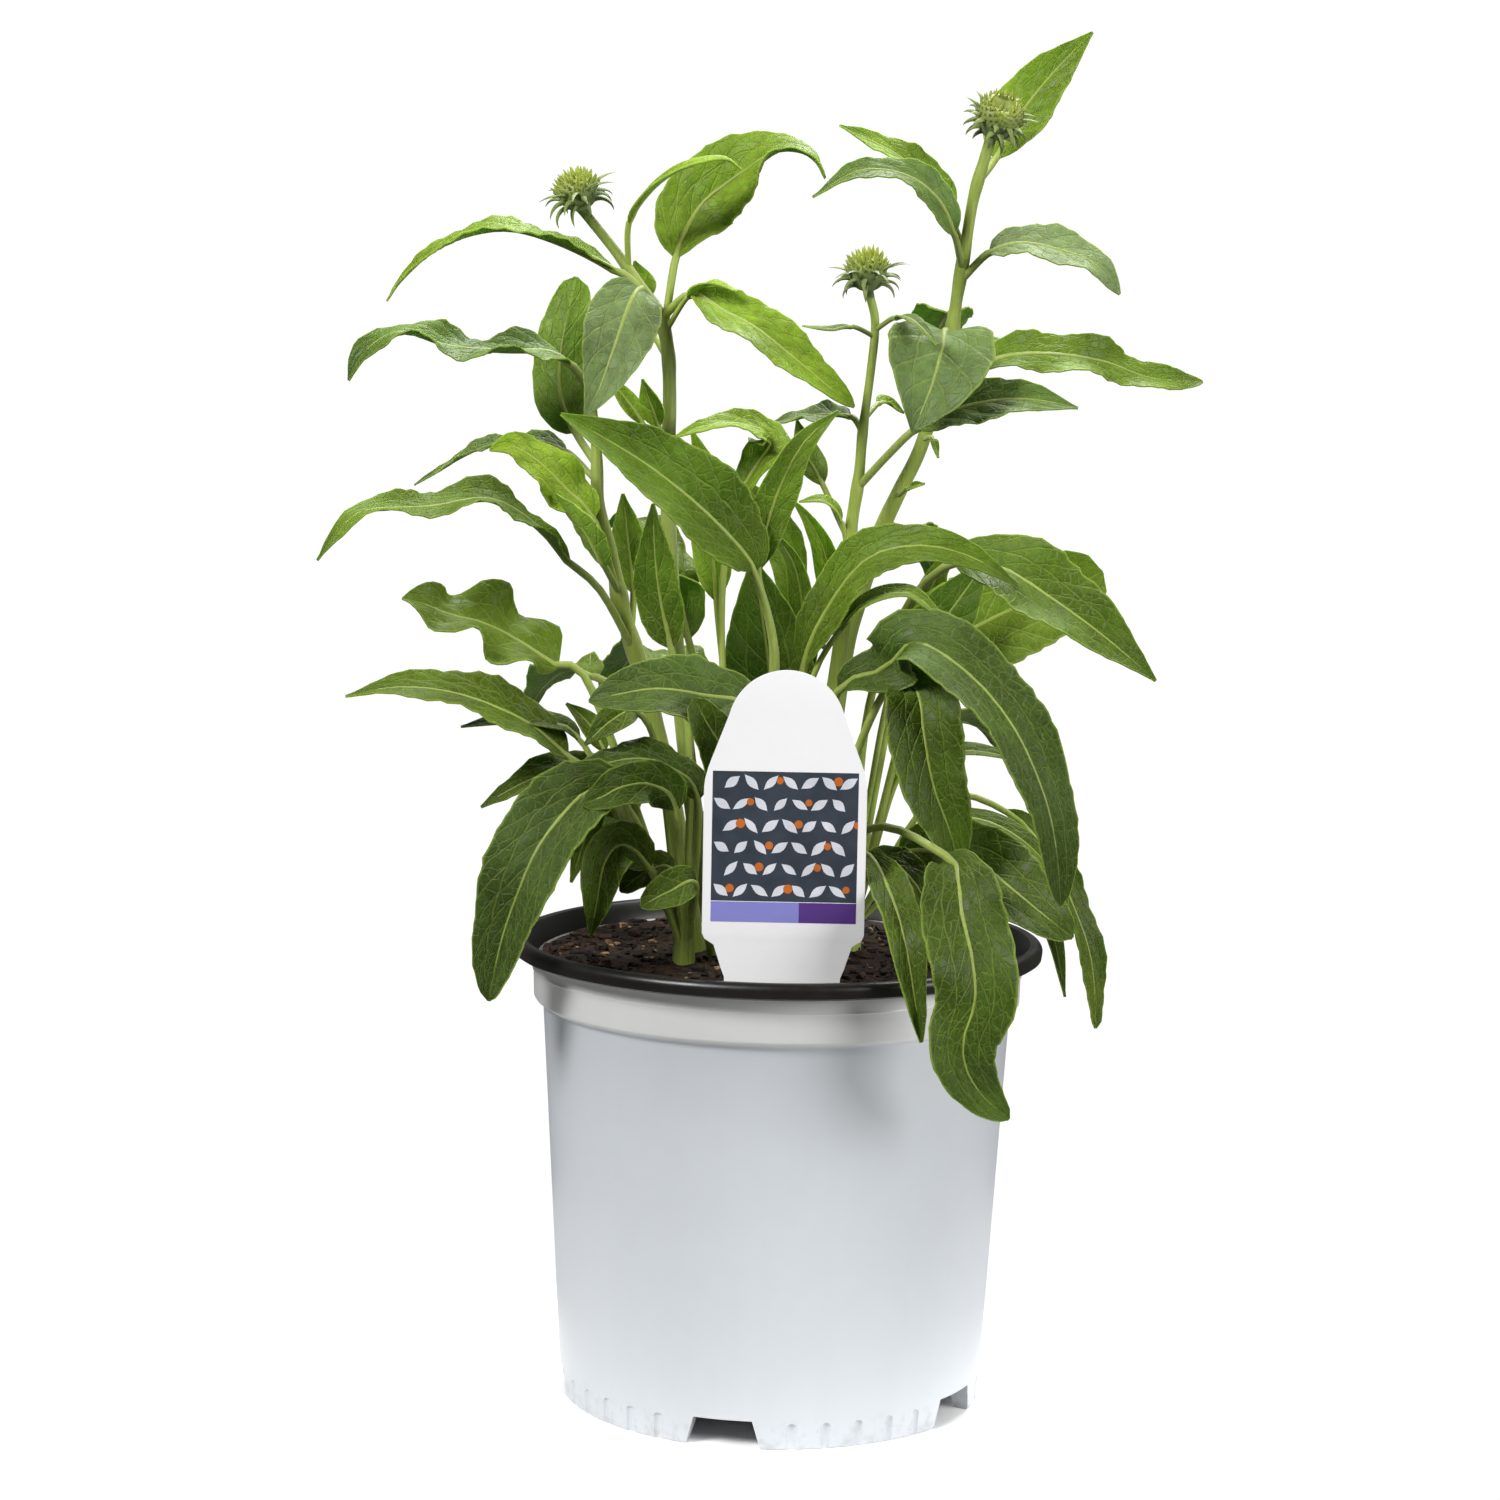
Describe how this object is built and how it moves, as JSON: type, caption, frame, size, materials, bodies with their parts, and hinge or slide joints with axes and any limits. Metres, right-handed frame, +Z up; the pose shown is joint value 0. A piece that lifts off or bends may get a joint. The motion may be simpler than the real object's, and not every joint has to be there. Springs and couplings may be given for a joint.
{
  "type": "coneflower plant in nursery pot",
  "caption": "Perennial coneflower in green bud, with leafy upright stems and long drooping leaves, in a round white nursery pot with a dark rim and a stake label.",
  "frame": {"origin": "middle of the pot's foot, on the surface the pot stands on", "axes": "+Z up along the pot's axis; the label and the leaf that hangs over the rim face -Y"},
  "size_m": [0.2673, 0.1819, 0.4246],
  "materials": {
    "white_plastic": "satin white injection-moulded nursery pot, cool white wall, warmer white collar, black rolled rim",
    "potting_soil": "dark brown bark and peat mix with a few pale chips",
    "white_label": null,
    "stem_green": "ribbed yellow-green stem, rough with fine hairs, carrying dull mid-green leaves",
    "leaf_green": "dull mid to dark green blades with a paler midrib and sunk net veins, yellower beneath",
    "bud_green": "yellow-green pointed scales over green bracts"
  },
  "bodies": {
    "root": {"pot": "white_plastic", "soil": "potting_soil", "plant_label": "white_label", "left_stem": "stem_green", "outer_left_stem": "stem_green", "centre_stem": "stem_green", "right_stem": "stem_green", "left_leaves": "leaf_green", "front_leaves": "leaf_green", "back_leaves": "leaf_green", "right_leaves": "leaf_green", "front_right_leaves": "leaf_green", "left_head": "bud_green", "centre_head": "bud_green", "right_head": "bud_green"}
  },
  "joints": []
}
